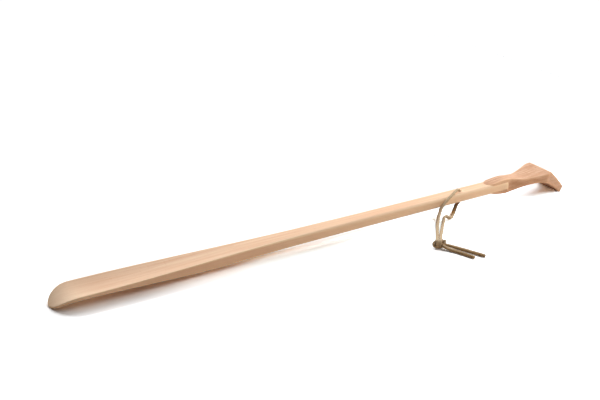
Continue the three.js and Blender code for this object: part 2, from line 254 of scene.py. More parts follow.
# Leather: scales and steps as for the wood
MOTTLE_SCALE = (0.35, 0.35, 0.35)
MOTTLE_STEPS = [(0.35, 0.0), (0.65, 1.0)]
NAP_SCALE = (3.2, 3.2, 3.2)
NAP_STEPS = [(0.3, 1.0), (0.6, 0.0)]
NAP_ROUGHNESS = [(0.3, 0.7), (0.7, 0.88)]
NAP_DEPTH = 0.35
LEATHER_WEAR = 0.35
# How far the painted shade colour goes over the lace at most
LEATHER_PAINTED_SHADE = 0.6
LEATHER_BUMP = 0.12
LEATHER_GLOSS = 0.25

# Camera at the photograph's place
CAMERA_PLACE = (-781.7, -1220.73, 617.22)
CAMERA_YAW = 31.525
CAMERA_PITCH = 21.438
CAMERA_LENS = 85
CAMERA_SENSOR = 36
CAMERA_REACH = 100  # metres

# Light panels: name, place and target in metres, width, height, watts and colour
KEY_COLOUR = (0.99, 1.0, 1.01)
RIGHT_COLOUR = (0.92, 1.0, 1.06)
FRONT_COLOUR = (1.0, 0.93, 0.87)
PANELS = [
    ("back_panel", (0.03, 1.5, 1.0), (0.03, 1.5, 0), 1.2, 0.9, 43, KEY_COLOUR),
    ("top_panel", (0.75, 0.45, 1.0), (0.75, 0.45, 0), 0.9, 0.6, 6.2, RIGHT_COLOUR),
    ("right_panel", (2.0, 0.3, 0.45), (0, 0, 0), 1.2, 0.8, 24, RIGHT_COLOUR),
    ("front_panel", (0.9, -0.65, 1.0), (0.9, -0.65, 0), 0.6, 1.2, 16.5, FRONT_COLOUR),
]
FILL_COLOUR = (1.0, 0.94, 0.92, 1)
FILL_LEVEL = 0.06
BACKGROUND_COLOUR = (1, 1, 1, 1)
BACKGROUND_LEVEL = 1.06

# Floor: its colour, and the light on it, which is a plain level, a rise along X and one along Y
FLOOR_SIZE = 1300
FLOOR_COLOUR = (0.9, 0.78, 0.67, 1)
FLOOR_LIGHT = (1.12, 0.0009, 0.00085)
FLOOR_LIGHT_RANGE = (0.55, 2.2)

# Levels at which the bare floor is seen, which lighten its shadows by region as painted light, and the
# ranges of X or Y over which one level turns into the next
BEYOND_TIP_RANGE = (-344, -328)  # of X less Y
BEYOND_TIP_LEVEL = (2.1, 2.1, 2.1, 1)
TIP_LEVEL = (1.07, 1.07, 1.07, 1)
ALONG_LEVELS = [
    ((-250, -150), (1.65, 1.65, 1.65, 1)),
    ((-150, 0), (2.1, 2.45, 2.75, 1)),
    ((20, 150), (2.6, 3.1, 3.4, 1)),
    ((200, 290), (2.2, 2.65, 2.95, 1)),
]
THROAT_START = (-130, -75)
THROAT_END = (-10, 60)
THROAT_FRONT = (-12, -6)
THROAT_FRONT_LEVEL = (1.6, 1.75, 1.8, 1)
THROAT_LEVEL = (2.3, 2.95, 3.5, 1)
BEHIND_SHAFT_END = (255, 300)
BEHIND_SHAFT_RANGE = (-4, 1)  # of Y less the slant
BEHIND_SHAFT_SLANT = 0.055
BEHIND_SHAFT_LEVEL = (1.25, 1.42, 1.5, 1)
BLADE_FRONT_RANGE = (-45, -22)
BLADE_FRONT_END = (-140, -60)
BLADE_FRONT_LEVEL = (1.7, 1.7, 1.72, 1)
FRONT_RANGE = (-90, -60)
FRONT_LEVEL = (1.4, 1.43, 1.45, 1)
BEHIND_RANGE = (25, 55)
BEHIND_LEVEL = (1.1, 1.1, 1.1, 1)

# How finely the surfaces are divided
HORN_ACROSS = 33
HORN_TIP_STEPS = 40
HORN_STEP = 4
HORN_END_STEPS = 5
SIDE_SHARES = (0.15, 0.5, 0.85)
OUTLINE_STEPS = 160
HEAD_STEPS_PER_STATION = 14
RIDGE_STEPS = 8
LIP_SHARES = (0.5, 1)
SLOT_STEPS = 12
SECTION_FLAT_STEPS = 8
SECTION_SIDE_STEPS = 5
CORNER_STEPS = 6
HOLE_SIDES = 64
ROUTE_STEPS = 40
LACE_STEP = 0.5
SAME_POINT = 1e-4
SHARP_ANGLE = math.radians(38)


def lerp(a, b, share):
    return a + (b - a) * share


def smoothstep(value, low, high):
    share = min(1, max(0, (value - low) / (high - low)))
    return share * share * (3 - 2 * share)


def spline(points, place):
    """The point at `place` spans along a smooth curve through the points."""
    last = len(points) - 1
    span = min(int(place), last - 1)
    t = place - span
    near = [points[min(max(span + k, 0), last)] for k in (-1, 0, 1, 2)]
    before, start, end, after = [np.array(point, float) for point in near]
    leave = (end - before) / 2
    arrive = (after - start) / 2
    bend = 3 * (end - start) - 2 * leave - arrive
    return start + leave * t + bend * t**2 + (leave + arrive - 2 * (end - start)) * t**3


def distance_to_line(points, line):
    """How far each 2-D point is from a line of points."""
    start = line[:-1]
    step = line[1:] - start
    offset = points[:, None] - start
    along = np.clip((offset * step).sum(2) / (step * step).sum(1), 0, 1)
    return np.linalg.norm(offset - along[..., None] * step, axis=2).min(1)


# Meshes


def mesh_object(name, points, faces):
    """A mesh object from points in millimetres, with points at one place merged."""
    mesh = bpy.data.meshes.new(name)
    mesh.from_pydata([tuple(np.array(p, float) * MM) for p in points], [], faces)
    shape = bmesh.new()
    shape.from_mesh(mesh)
    bmesh.ops.remove_doubles(shape, verts=shape.verts, dist=SAME_POINT * MM)
    bmesh.ops.dissolve_degenerate(shape, edges=shape.edges, dist=SAME_POINT * MM)
    bmesh.ops.recalc_face_normals(shape, faces=shape.faces)
    shape.to_mesh(mesh)
    shape.free()
    made = bpy.data.objects.new(name, mesh)
    bpy.context.scene.collection.objects.link(made)
    return made


def loft(rings, close_start=True):
    """Points and faces of a skin over closed rings of equal point counts."""
    count = len(rings[0])
    points = [p for ring in rings for p in ring]
    faces = []
    for i in range(len(rings) - 1):
        for j in range(count):
            a = i * count + j
            b = i * count + (j + 1) % count
            faces.append((a, b, b + count, a + count))
    closed = [0] if close_start else []
    closed.append(len(points) - count)
    for first in closed:
        for j in range(count // 2 - 1):
            faces.append((first + j, first + j + 1, first + count - 2 - j, first + count - 1 - j))
    return points, faces


def cut(piece, cutter):
    """Takes the cutter's shape out of the piece, and removes the cutter."""
    change = piece.modifiers.new("cut", "BOOLEAN")
    change.operation = "DIFFERENCE"
    change.solver = "EXACT"
    change.object = cutter
    shown = piece.evaluated_get(bpy.context.evaluated_depsgraph_get())
    mesh = bpy.data.meshes.new_from_object(shown)
    mesh.name = piece.name
    piece.modifiers.clear()
    piece.data = mesh
    bpy.data.objects.remove(cutter)


def finish_piece(piece, material, body, slot, *nodes):
    """Smooth shading with crisp edges, the masks for wear with a painted highlight and for painted side
    shading, the material and the place in the frame.
    """
    mesh = piece.data
    mesh.shade_smooth()
    mesh.set_sharp_from_angle(angle=SHARP_ANGLE)
    store_edge_and_side_masks(mesh)
    mesh.materials.clear()
    mesh.materials.append(material)
    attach(piece, body)
    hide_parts(*nodes)
    return piece


def store(mesh, name, values):
    """Keeps one number at each point of the mesh."""
    attribute = mesh.attributes.new(name, "FLOAT", "POINT")
    attribute.data.foreach_set("value", values.astype(np.float32))


def store_edge_and_side_masks(mesh):
    """Keeps at each point how sharply the surface bulges and how far it faces sideways, from 0 to 1."""
    points = np.array([v.co for v in mesh.vertices]) / MM
    normals = np.array([v.normal for v in mesh.vertices])
    a, b = np.array([e.vertices for e in mesh.edges]).T
    step = points[a] - points[b]
    size = np.maximum((step * step).sum(1), 1e-6)
    bulge = ((normals[a] - normals[b]) * step).sum(1) / size
    sharpest = np.zeros(len(points))
    for end in (a, b):
        np.maximum.at(sharpest, end, bulge)
    for name, values, (low, high) in (
            ("wear_and_highlight", sharpest, WEAR_AND_HIGHLIGHT_BULGE), ("side_shading", np.abs(normals[:, 1]), SIDE_SHADING_FACING)):
        store(mesh, name, np.clip((values - low) / (high - low), 0, 1))


# Materials


def colour(red, green, blue):
    """A colour from its screen values, 0 to 255."""
    def linear(value):
        share = value / 255
        return share / 12.92 if share <= 0.04045 else ((share + 0.055) / 1.055) ** 2.4
    return (linear(red), linear(green), linear(blue), 1)


class Shader:
    """The nodes of a material or world. An input that is a socket is linked, any other value is set."""

    def __init__(self, owner):
        owner.use_nodes = True
        self.owner = owner
        self.tree = owner.node_tree
        self.tree.nodes.clear()

    def add(self, kind, inputs, **settings):
        node = self.tree.nodes.new(kind)
        for key, value in settings.items():
            setattr(node, key, value)
        for key, value in inputs.items():
            if isinstance(value, bpy.types.NodeSocket):
                self.tree.links.new(value, node.inputs[key])
            else:
                node.inputs[key].default_value = value
        return node

    def math(self, operation, a, b=0.0):
        return self.add("ShaderNodeMath", {0: a, 1: b}, operation=operation).outputs[0]

    def times(self, a, b):
        return self.math("MULTIPLY", a, b)

    def rest(self, share):
        """What is left of 1."""
        return self.math("SUBTRACT", 1.0, share)

    def vector(self, operation, a, b):
        return self.add("ShaderNodeVectorMath", {0: a, 1: b}, operation=operation).outputs[0]

    def split(self, vector):
        return self.add("ShaderNodeSeparateXYZ", {0: vector}).outputs

    def noise(self, place, scale, detail=2.0, output="Fac"):
        scaled = self.vector("MULTIPLY", place, scale)
        inputs = {"Vector": scaled, "Scale": 1.0, "Detail": detail}
        return self.add("ShaderNodeTexNoise", inputs).outputs[output]

    def ramp(self, factor, stops):
        """A grey value for a factor, through stops of (factor, value)."""
        node = self.add("ShaderNodeValToRGB", {"Fac": factor})
        elements = node.color_ramp.elements
        while len(elements) < len(stops):
            elements.new(0.5)
        for element, (place, value) in zip(elements, stops):
            element.position = place
            element.color = (value, value, value, 1)
        return node.outputs["Color"]

    def ease(self, value, low, high):
        """0 below low, 1 above high, and a smooth step between."""
        inputs = {"Value": value, "From Min": low, "From Max": high}
        node = self.add("ShaderNodeMapRange", inputs, interpolation_type="SMOOTHSTEP")
        return node.outputs["Result"]

    def within(self, value, start, end):
        """1 from the end of the start range to the start of the end range, and 0 outside them."""
        return self.math("SUBTRACT", self.ease(value, *start), self.ease(value, *end))

    def mix(self, factor, a, b):
        return self.add("ShaderNodeMix", {0: factor, 6: a, 7: b}, data_type="RGBA").outputs[2]

    def choose(self, factor, a, b):
        """Shader a where the factor is 0, and b where it is 1."""
        inputs = {0: factor, 1: a.outputs[0], 2: b.outputs[0]}
        return self.add("ShaderNodeMixShader", inputs).outputs[0]

    def millimetres(self):
        """The place on the piece, in millimetres."""
        place = self.add("ShaderNodeTexCoord", {}).outputs["Object"]
        return self.vector("MULTIPLY", place, (1 / MM,) * 3)

    def attribute(self, name):
        return self.add("ShaderNodeAttribute", {}, attribute_name=name).outputs["Fac"]

    def surface(self, base, rough, gloss, height, bump_depth):
        """The principled shader, with a bump of that depth in millimetres."""
        bump = self.add("ShaderNodeBump", {"Height": height, "Distance": bump_depth * MM, "Strength": 1.0})
        inputs = {"Base Color": base, "Roughness": rough, "Specular IOR Level": gloss}
        shader = self.add("ShaderNodeBsdfPrincipled", {**inputs, "Normal": bump.outputs[0]})
        self.add("ShaderNodeOutputMaterial", {"Surface": shader.outputs[0]})
        return self.owner


def painted_tip_light(shader, place):
    """Painted light towards the tip of the blade, which lightens the drooping tip where it faces away from
    the lamps.
    """
    from_tip = shader.ease(shader.split(place)["X"], TIP_X, TIP_X + TIP_PAINTED_LIGHT_LENGTH)
    return shader.times(shader.rest(from_tip), TIP_PAINTED_LIGHT)


def short_grain(shader, place):
    """Mottle on the hook's sides, where its grain runs out short."""
    parts = shader.split(place)
    hooked = shader.ease(parts["X"], HOOK_X - SHORT_GRAIN_FROM, HOOK_X - SHORT_GRAIN_FULL)
    below = shader.rest(shader.ease(parts["Z"], *SHORT_GRAIN_HEIGHTS))
    mottle = shader.ramp(shader.noise(place, PORE_SCALE), PORE_STEPS)
    return shader.times(shader.times(hooked, below), mottle)


def beech(name, light, warm, late, fleck, pale, pith, ring_spacing, ring_depth, fibre_depth, ray_depth,
          streak_depth, streak_width, wear_and_highlight_depth, side_shading_depth):
    """Beech whose grain runs along X. `pith` is the heart of the tree, as y and z."""
    shader = Shader(bpy.data.materials.new(name))
    place = shader.millimetres()

    slow = shader.noise(place, WANDER_SCALE, output="Color")
    wander = shader.vector("MULTIPLY", shader.vector("SUBTRACT", slow, (0.5,) * 3), WANDER_REACH)
    from_heart = shader.vector("SUBTRACT", shader.vector("ADD", place, wander), (0, *pith))
    parts = shader.split(from_heart)
    across = shader.math("ADD", parts["Y"], shader.times(parts["X"], GRAIN_RUNOUT))
    squares = shader.math("ADD", shader.math("POWER", across, 2.0), shader.math("POWER", parts["Z"], 2.0))
    radius = shader.math("POWER", squares, 0.5)
    phase = shader.math("DIVIDE", radius, ring_spacing)
    ring = shader.ramp(shader.math("FRACT", phase), RING_STEPS)
    year = shader.add("ShaderNodeTexWhiteNoise", {"W": shader.math("FLOOR", phase)}, noise_dimensions="1D")
    year_depth = shader.ramp(year.outputs["Value"], YEAR_STEPS)
    ring_shade = shader.times(shader.times(ring, year_depth), ring_depth)

    streak = shader.noise(place, (STREAK_ALONG, 1 / streak_width, 1 / streak_width))
    streak_shade = shader.times(shader.ramp(streak, STREAK_STEPS), streak_depth)

    fibre = shader.noise(place, FIBRE_SCALE, detail=3.0)
    fibre_shade = shader.times(shader.ramp(fibre, FIBRE_STEPS), fibre_depth)

    round_way = shader.times(shader.math("ARCTAN2", parts["Z"], across), radius)
    ray_place = shader.add("ShaderNodeCombineXYZ", {0: parts["X"], 1: radius, 2: round_way}).outputs[0]
    ray = shader.ramp(shader.noise(ray_place, RAY_SCALE, detail=1.0), RAY_STEPS)

    base = shader.mix(shader.ramp(shader.noise(place, TONE_SCALE), TONE_STEPS), light, warm)
    for shade in (ring_shade, streak_shade, fibre_shade):
        base = shader.mix(shade, base, late)
    base = shader.mix(shader.times(ray, ray_depth), base, fleck)
    # Painted shade and light on the sides: warmer and darker towards the blade, paler towards the head
    side_shading_tone = shader.mix(shader.ease(parts["X"], *SIDE_SHADING_TURN), warm, pale)
    base = shader.mix(shader.times(shader.attribute("side_shading"), side_shading_depth), base, side_shading_tone)
    base = shader.mix(short_grain(shader, place), base, colour(*SHORT_GRAIN_TONE))
    # Sharp edges turn pale: partly real wear, partly a painted highlight along the rounded arrises
    worn_and_highlit = shader.times(shader.attribute("wear_and_highlight"), wear_and_highlight_depth)
    # The drooping tip is lightened with painted light, up to the pale colour
    base = shader.mix(shader.math("MAXIMUM", worn_and_highlit, painted_tip_light(shader, place)), base, pale)

    height = shader.math("SUBTRACT", fibre, shader.times(ray, RAY_GROOVE))
    return shader.surface(base, shader.ramp(fibre, FIBRE_ROUGHNESS), WOOD_GLOSS, height, WOOD_BUMP)


def leather(name, new, old, painted_shade):
    """A leather lace that darkens with the age, and with painted shade, kept in its mesh.

    `new` and `old` hold the colours of face, shade and edge. Values from 1 to 2 go on from old to the
    painted shade colour.
    """
    shader = Shader(bpy.data.materials.new(name))
    place = shader.millimetres()
    age_and_shade = shader.attribute("age_and_shade")
    face, shade, edge = [shader.mix(age_and_shade, a, b) for a, b in zip(new, old)]
    mottle = shader.noise(place, MOTTLE_SCALE, detail=3.0)
    nap = shader.noise(place, NAP_SCALE, detail=4.0)
    base = shader.mix(shader.ramp(mottle, MOTTLE_STEPS), face, shade)
    base = shader.mix(shader.times(shader.ramp(nap, NAP_STEPS), NAP_DEPTH), base, edge)
    # On the lace the same edge mask only gives its worn edges the edge colour
    base = shader.mix(shader.times(shader.attribute("wear_and_highlight"), LEATHER_WEAR), base, edge)
    # Painted shade: values from 1 to 2 darken the lace towards the painted shade colour
    base = shader.mix(shader.times(shader.ease(age_and_shade, 1.0, 2.0), LEATHER_PAINTED_SHADE), base, painted_shade)
    return shader.surface(base, shader.ramp(nap, NAP_ROUGHNESS), LEATHER_GLOSS, nap, LEATHER_BUMP)


# Blade and shaft


def top_line(distance):
    return lerp(TIP_HEIGHT, SHAFT_END_HEIGHT, distance / SHAFT_END)


def shaft_underside(distance):
    return top_line(distance) - SHAFT_THICKNESS


def full_half_width(distance):
    """Half the horn's width, as if its tip were not rounded."""
    taper = max(0, (distance - BLADE_LENGTH) / (SHAFT_END - BLADE_LENGTH))
    shaft = lerp(SHAFT_WIDTH, SHAFT_END_WIDTH, taper)
    return lerp(BLADE_WIDTH, shaft, smoothstep(distance, TIP_LENGTH, BLADE_LENGTH)) / 2


def trimmed_half_width(distance):
    """Half the horn's width, with its rounded tip."""
    from_round = max(0, TIP_LENGTH - distance) / TIP_LENGTH
    return full_half_width(distance) * (1 - from_round**TIP_FULLNESS) ** (1 / TIP_FULLNESS)


def rim_height(distance):
    """The blade's top edge, which follows the top line and bends down to the tip."""
    from_bend = max(0, 1 - distance / TIP_DROOP_LENGTH)
    return top_line(distance) - TIP_DROOP * from_bend**TIP_DROOP_POWER


def hollow_depth(distance):
    return HOLLOW_DEPTH * (1 - smoothstep(distance, HOLLOW_FULL, HOLLOW_LENGTH))


def belly(distance):
    """Underside along the middle. At the tip it comes down to the surface."""
    tip_thickness = TIP_HEIGHT - TIP_DROOP - HOLLOW_DEPTH
    wall = lerp(tip_thickness, SHAFT_THICKNESS, smoothstep(distance, 0, WALL_LENGTH))
    return rim_height(distance) - hollow_depth(distance) - wall


def tip_distances(steps):
    """Distances from the tip that divide its rounded end evenly."""
    return [TIP_LENGTH * (1 - math.cos(math.pi / 2 * i / steps)) for i in range(steps)]


OUTLINE = np.array(
    [(d, trimmed_half_width(d)) for d in tip_distances(OUTLINE_STEPS)]
    + [(d, trimmed_half_width(d)) for d in np.linspace(TIP_LENGTH, SHAFT_END, OUTLINE_STEPS)]
)
ACROSS = np.sin(np.linspace(-math.pi / 2, math.pi / 2, HORN_ACROSS))


def horn_ring(distance, margin=0.0):
    """Cross-section of the horn, grown by a margin on every side."""
    full = full_half_width(distance)
    half = trimmed_half_width(distance)
    edge = lerp(RIM_THICKNESS, SHAFT_THICKNESS, smoothstep(distance, TIP_LENGTH, RIM_LENGTH))
    hollow = hollow_depth(distance)
    rim = rim_height(distance)
    bottom = belly(distance)
    bulge = max(0, rim - edge - bottom)
    softness = smoothstep(distance, CRISP_EDGE_LENGTH, ROUND_EDGE_LENGTH)
    radius = lerp(BLADE_EDGE_ROUND, SHAFT_EDGE_ROUND, softness)
    y = half * ACROSS
    inside = distance_to_line(np.stack([np.full_like(y, distance), abs(y)], axis=1), OUTLINE)
    fall = radius - np.sqrt(radius**2 - np.maximum(0, radius - inside) ** 2)
    share = (y / full) ** 2
    top = rim - hollow * (1 - share) - fall + margin
    under = bottom + bulge * share + fall - margin
    y = y * (half + margin) / max(half, margin, 1e-9)
    x = np.full_like(y, TIP_X + distance)
    upper = np.stack([x, y, top], axis=1)
    lower = np.stack([x, y, under], axis=1)
    right = [lerp(upper[-1], lower[-1], share) for share in SIDE_SHARES]
    left = [lerp(lower[0], upper[0], share) for share in SIDE_SHARES]
    return [*upper, *right, *lower[::-1], *left]


def shaft_end_rings(margin=0.0):
    """Cross-sections of the shaft's rounded end, grown by a margin on every side."""
    rings = []
    for i in range(1, HORN_END_STEPS + 1):
        turn = math.pi / 2 * i / HORN_END_STEPS
        distance = SHAFT_END + margin - END_ROUND * (1 - math.sin(turn))
        rings.append(horn_ring(distance, margin + END_ROUND * (math.cos(turn) - 1)))
    return rings


def make_horn(material):
    body_steps = round((SHAFT_END - END_ROUND - TIP_LENGTH) / HORN_STEP)
    distances = tip_distances(HORN_TIP_STEPS)
    distances += list(np.linspace(TIP_LENGTH, SHAFT_END - END_ROUND, body_steps))
    rings = [horn_ring(d) for d in distances] + shaft_end_rings()
    horn = mesh_object("horn_wood", *loft(rings, close_start=False))
    cut(horn, make_drill())
    finish_piece(horn, material, "shoe_horn", "beech", "horn")


def make_drill():
    """The thong's hole, with eased mouths, as a solid to cut with."""
    distance = HOLE_X - TIP_X
    top = top_line(distance)
    bottom = shaft_underside(distance)
    radius = HOLE_DIAMETER / 2
    profile = [(radius + 3 * HOLE_EASE, bottom - 2 * HOLE_EASE)]
    profile += [(radius + HOLE_EASE, bottom), (radius, bottom + HOLE_EASE)]
    profile += [(radius, top - HOLE_EASE), (radius + HOLE_EASE, top)]
    profile += [(radius + 3 * HOLE_EASE, top + 2 * HOLE_EASE)]
    turns = [2 * math.pi * i / HOLE_SIDES for i in range(HOLE_SIDES)]
    rings = [[(HOLE_X + r * math.cos(a), r * math.sin(a), z) for a in turns] for r, z in profile]
    return mesh_object("drill", *loft(rings))


# Head


def head_lines():
    """The head's top line, its underside line, which goes on to the lip, and its edges' rounding."""
    upper_start = SHAFT_END - UPPER_CHEEK_LENGTH
    lower_start = SHAFT_END - LOWER_CHEEK_LENGTH
    crest = SHAFT_END - CREST_BACK
    neck_x = SHAFT_END_X + CREST_BACK
    neck_rise = CHEEK_RISE - NECK_FALL
    neck_drop = LOWER_CHEEK_DROP - NECK_FALL
    saddle_x = HOOK_X - SADDLE_REACH
    flare_x = HOOK_X - FLARE_REACH
    top = [
        (TIP_X + upper_start, top_line(upper_start) + CHEEK_TIP_RISE),
        (TIP_X + crest, top_line(crest) + CHEEK_RISE),
        (neck_x, SHAFT_END_HEIGHT + neck_rise),
        (saddle_x, SADDLE_HEIGHT),
        (flare_x, FLARE_HEIGHT),
        (HOOK_X - RIDGE_REACH, RIDGE_HEIGHT),
    ]
    under = [
        (TIP_X + lower_start, shaft_underside(lower_start) - CHEEK_TIP_RISE),
        (TIP_X + crest, shaft_underside(crest) - LOWER_CHEEK_DROP),
        (neck_x, SHAFT_END_HEIGHT - SHAFT_THICKNESS - neck_drop),
        (saddle_x, SADDLE_HEIGHT - SADDLE_THICKNESS),
        (flare_x, FLARE_HEIGHT - FLARE_THICKNESS),
        (HOOK_X - RIDGE_UNDER_REACH, RIDGE_UNDER_HEIGHT),
        (HOOK_X - LIP_UNDER_REACH, LIP_UNDER_HEIGHT),
    ]
    edge = [NECK_EDGE_ROUND] * 3
    edge += [lerp(NECK_EDGE_ROUND, FAN_EDGE_ROUND, share) for share in FAN_EDGE_SHARES]
    return top, under, edge


def head_half_width(x):
    """Half the head's width at x: a straight neck, a waist that widens, and a fan with rounded corners."""
    points = [
        (TIP_X + SHAFT_END - UPPER_CHEEK_LENGTH, TONGUE_WIDTH),
        (SHAFT_END_X, NECK_WIDTH),
        (SHAFT_END_X + CREST_BACK, NECK_WIDTH),
        (HOOK_X - SADDLE_REACH, SADDLE_WIDTH),
        (HOOK_X - FLARE_REACH, FLARE_WIDTH),
        (HOOK_X - WIDEST_REACH, WIDEST_WIDTH),
        (HOOK_X - RIDGE_REACH, RIDGE_WIDTH),
        (HOOK_X, LIP_WIDTH),
    ]
    places = np.array([p[0] for p in points])
    span = int(np.clip(np.searchsorted(places, x) - 1, 0, len(points) - 2))
    share = np.clip((x - places[span]) / (places[span + 1] - places[span]), 0, 1)
    return spline(points, span + share)[1] / 2


def head_section(top, under, half, radius):
    """Rounded rectangle between a point of the top line and one of the underside line, each as x and z."""
    rib = np.array(under) - np.array(top)
    height = np.linalg.norm(rib)
    radius = min(radius, MOST_EDGE_ROUND * height, MOST_EDGE_ROUND * half)
    outline = [(y, 0) for y in np.linspace(0, half - radius, SECTION_FLAT_STEPS)]
    turns = [math.pi / 2 * i / CORNER_STEPS for i in range(1, CORNER_STEPS)]
    outline += [(half - radius * (1 - math.sin(a)), radius * (1 - math.cos(a))) for a in turns]
    outline += [(half, down) for down in np.linspace(radius, height - radius, SECTION_SIDE_STEPS)]
    outline += [(half - radius * (1 - math.cos(a)), height - radius * (1 - math.sin(a))) for a in turns]
    outline += [(y, height) for y in np.linspace(half - radius, 0, SECTION_FLAT_STEPS)]
    outline += [(-y, down) for y, down in reversed(outline[1:-1])]
    ring = []
    for y, down in outline:
        x, z = np.array(top) + rib * (down / height)
        ring.append((x, y, z))
    return ring


def fillet(before, corner, after, radius, steps):
    """Points of an arc that rounds a corner in the x-z plane."""
    corner = np.array(corner, float)
    arms = [(np.array(p) - corner) / np.linalg.norm(np.array(p) - corner) for p in (before, after)]
    half_angle = math.acos(np.clip(arms[0] @ arms[1], -1, 1)) / 2
    inward = (arms[0] + arms[1]) / np.linalg.norm(arms[0] + arms[1])
    middle = corner + inward * radius / math.sin(half_angle)
    start, end = [corner + arm * radius / math.tan(half_angle) - middle for arm in arms]
    angles = np.unwrap([math.atan2(*p[::-1]) for p in (start, end)])
    return [middle + radius * np.array((math.cos(a), math.sin(a))) for a in np.linspace(*angles, steps)]


def head_ribs():
    """The head's cross-sections, each as a top point, a point under it, half a width and a rounding."""
    top, under, edge = head_lines()
    lip_top = np.array((HOOK_X + LIP_OVER, LIP_HEIGHT))
    lip_under = np.array(under[-1])
    spans = len(top) - 1

    ribs = []
    steps = spans * HEAD_STEPS_PER_STATION
    for i in range(steps):
        place = spans * i / steps
        over = spline(top, place)
        from_tip = over[0] - top[0][0]
        short = max(0, 1 - (from_tip + TONGUE_BLUNT) / TONGUE_LENGTH)
        half = head_half_width(over[0]) * (1 - short**TONGUE_FULLNESS) ** (1 / TONGUE_FULLNESS)
        rounding = spline([(r,) for r in edge], place)[0]
        ribs.append((over, spline(under, place), half, rounding))

    ridge = fillet(ribs[-2][0], top[-1], lip_top, RIDGE_ROUND, RIDGE_STEPS)
    ribs = [rib for rib in ribs if rib[0][0] < ridge[0][0] - RIDGE_CLEAR]
    for i, over in enumerate(ridge):
        place = spans - RIDGE_SPREAD + 2 * RIDGE_SPREAD * i / (RIDGE_STEPS - 1)
        ribs.append((over, spline(under, place), head_half_width(over[0]), FAN_EDGE_ROUND))

    outward = np.array((RIDGE_HEIGHT - LIP_HEIGHT, RIDGE_REACH))
    outward = outward / np.linalg.norm(outward)
    for i in range(1, HEAD_STEPS_PER_STATION + 1):
        share = i / HEAD_STEPS_PER_STATION
        over = lerp(ridge[-1], lip_top, share) + outward * HOOK_CROWN * 4 * share * (1 - share)
        place = spans + RIDGE_SPREAD + (1 - RIDGE_SPREAD) * share
        rounding = lerp(FAN_EDGE_ROUND, LIP_EDGE_ROUND, share)
        ribs.append((over, spline(under, place), head_half_width(over[0]), rounding))

    flat_start = np.array((HOOK_X - LIP_FLAT_REACH, 0))
    flat_end = np.array((HOOK_X - LIP_FLAT_REACH - LIP_FLAT_WIDTH, 0))
    for share in LIP_SHARES:
        over = lerp(lip_top, flat_start, share)
        ribs.append((over, lerp(lip_under, flat_end, share), LIP_WIDTH / 2, LIP_EDGE_ROUND))
    return ribs


def make_slot():
    """The shaft's end with the glue joint's gap round it, as a solid to cut with."""
    start = SHAFT_END - UPPER_CHEEK_LENGTH - SHAFT_THICKNESS
    distances = np.linspace(start, SHAFT_END - END_ROUND, SLOT_STEPS)
    rings = [horn_ring(d, JOINT_GAP) for d in distances] + shaft_end_rings(JOINT_GAP)
    return mesh_object("slot", *loft(rings))


def make_head(material):
    head = mesh_object("hook_head_wood", *loft([head_section(*rib) for rib in head_ribs()]))
    cut(head, make_slot())
    finish_piece(head, material, "shoe_horn", "head_beech", "hook_head")


# Leather thong


def route(points):
    """A smooth line through the points, divided evenly."""
    places = np.linspace(0, len(points) - 1, ROUTE_STEPS * len(points))
    fine = np.array([spline(points, place) for place in places])
    along = np.concatenate([[0], np.cumsum(np.linalg.norm(np.diff(fine, axis=0), axis=1))])
    even = np.linspace(0, along[-1], max(4, round(along[-1] / LACE_STEP)))
    return np.stack([np.interp(even, along, fine[:, k]) for k in range(3)], axis=1)


def lace_outline():
    """Cross-section of the lace, as points across its width and its thickness."""
    outline = []
    for corner in range(4):
        turn = math.pi / 2 * corner
        along = (1, -1, -1, 1)[corner] * (LACE_WIDTH / 2 - LACE_CORNER)
        up = (1, 1, -1, -1)[corner] * (LACE_THICKNESS / 2 - LACE_CORNER)
        for i in range(CORNER_STEPS):
            angle = turn + math.pi / 2 * i / (CORNER_STEPS - 1)
            outline.append((along + LACE_CORNER * math.cos(angle), up + LACE_CORNER * math.sin(angle)))
    return np.array(outline)


def along_line(stops, line):
    """The value at each point of the line, through stops of (share of the length, value)."""
    return np.interp(np.linspace(0, 1, len(line)), *zip(*stops))


def lace_axes(line, twist):
    """The directions across and up from the lace at each point of its line."""
    ahead = np.gradient(line, axis=0)
    ahead /= np.linalg.norm(ahead, axis=1)[:, None]
    flat = np.hypot(ahead[:, 0], ahead[:, 1]) > LEAST_LEVEL
    places = np.arange(len(line))
    heading = np.unwrap(np.arctan2(ahead[flat, 1], ahead[flat, 0]))
    heading = np.interp(places, places[flat], heading)
    across = np.stack([-np.sin(heading), np.cos(heading), np.zeros(len(line))], axis=1)
    across -= (across * ahead).sum(1)[:, None] * ahead
    across /= np.linalg.norm(across, axis=1)[:, None]
    up = np.cross(ahead, across)
    angle = np.radians(along_line(twist, line))[:, None]
    turned_across = across * np.cos(angle) + up * np.sin(angle)
    turned_up = up * np.cos(angle) - across * np.sin(angle)
    return turned_across, turned_up


def lace(line, twist, sizes, end_round):
    """Points and faces of a lace along a line."""
    across, up = lace_axes(line, twist)
    outline = lace_outline()
    scales = along_line(sizes, line)
    length = LACE_STEP * (len(line) - 1)
    rings = []
    for i, centre in enumerate(line):
        along = LACE_STEP * i
        short = max(0, 1 - min(along, length - along) / end_round)
        size = math.sqrt(max(0, 1 - short**2)) * (1 - LACE_END_SIZE) + LACE_END_SIZE
        slow = SLOW_WAVE * math.sin(SLOW_WAVE_TURN * along)
        quick = QUICK_WAVE * math.sin(QUICK_WAVE_TURN * along + length)
        size *= scales[i] + slow + quick
        rings.append(centre + size * (outline[:, :1] * across[i] + outline[:, 1:] * up[i]))
    return loft(rings)


